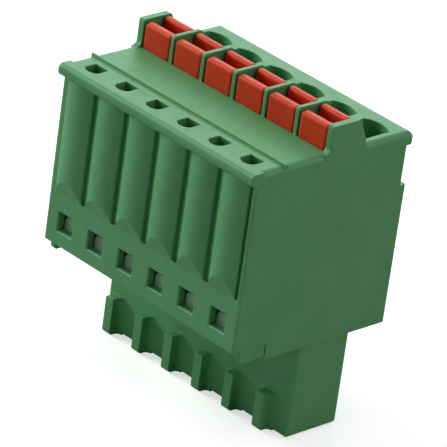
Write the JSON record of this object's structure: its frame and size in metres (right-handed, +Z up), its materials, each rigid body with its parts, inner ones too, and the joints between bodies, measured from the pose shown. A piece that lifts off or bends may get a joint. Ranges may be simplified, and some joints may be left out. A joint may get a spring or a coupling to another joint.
{
  "type": "pluggable terminal block",
  "caption": "Pluggable push-in terminal block in green plastic with a row of red push buttons, a wire entry behind each, test holes, windows and a ribbed nose for a board header.",
  "frame": {"origin": "middle of the bounding box in X and Y, at the end face of the nose", "axes": "+X along the row of poles, -Y out of the face with the columns and windows, +Y towards the wire entry side, +Z up out of the top face with the buttons"},
  "size_m": [0.0218, 0.0166, 0.0265],
  "materials": {
    "green_polyamide": "fine moulded, slight sheen",
    "orange_polyamide": "fine moulded, slight sheen",
    "tinned_copper_alloy": "matt tin plate over stamped copper alloy",
    "stainless_spring_strip": "rolled strip"
  },
  "bodies": {
    "plug": {"housing": "green_polyamide", "plug_base": "green_polyamide", "contact_1": "tinned_copper_alloy", "contact_2": "tinned_copper_alloy", "contact_3": "tinned_copper_alloy", "contact_4": "tinned_copper_alloy", "contact_5": "tinned_copper_alloy", "contact_6": "tinned_copper_alloy", "clamp_spring_1": "stainless_spring_strip", "clamp_spring_2": "stainless_spring_strip", "clamp_spring_3": "stainless_spring_strip", "clamp_spring_4": "stainless_spring_strip", "clamp_spring_5": "stainless_spring_strip", "clamp_spring_6": "stainless_spring_strip"},
    "button_1": {"button_1": "orange_polyamide"},
    "button_2": {"button_2": "orange_polyamide"},
    "button_3": {"button_3": "orange_polyamide"},
    "button_4": {"button_4": "orange_polyamide"},
    "button_5": {"button_5": "orange_polyamide"},
    "button_6": {"button_6": "orange_polyamide"}
  },
  "joints": [
    {"name": "button_1_press", "type": "slide", "parent": "plug", "child": "button_1", "axis": [0, 0, -1], "range_m": [0, 0.0013], "stiffness_N_per_m": 6000, "deforming": ["clamp_spring_1"]},
    {"name": "button_2_press", "type": "slide", "parent": "plug", "child": "button_2", "axis": [0, 0, -1], "range_m": [0, 0.0013], "stiffness_N_per_m": 6000, "deforming": ["clamp_spring_2"]},
    {"name": "button_3_press", "type": "slide", "parent": "plug", "child": "button_3", "axis": [0, 0, -1], "range_m": [0, 0.0013], "stiffness_N_per_m": 6000, "deforming": ["clamp_spring_3"]},
    {"name": "button_4_press", "type": "slide", "parent": "plug", "child": "button_4", "axis": [0, 0, -1], "range_m": [0, 0.0013], "stiffness_N_per_m": 6000, "deforming": ["clamp_spring_4"]},
    {"name": "button_5_press", "type": "slide", "parent": "plug", "child": "button_5", "axis": [0, 0, -1], "range_m": [0, 0.0013], "stiffness_N_per_m": 6000, "deforming": ["clamp_spring_5"]},
    {"name": "button_6_press", "type": "slide", "parent": "plug", "child": "button_6", "axis": [0, 0, -1], "range_m": [0, 0.0013], "stiffness_N_per_m": 6000, "deforming": ["clamp_spring_6"]}
  ]
}
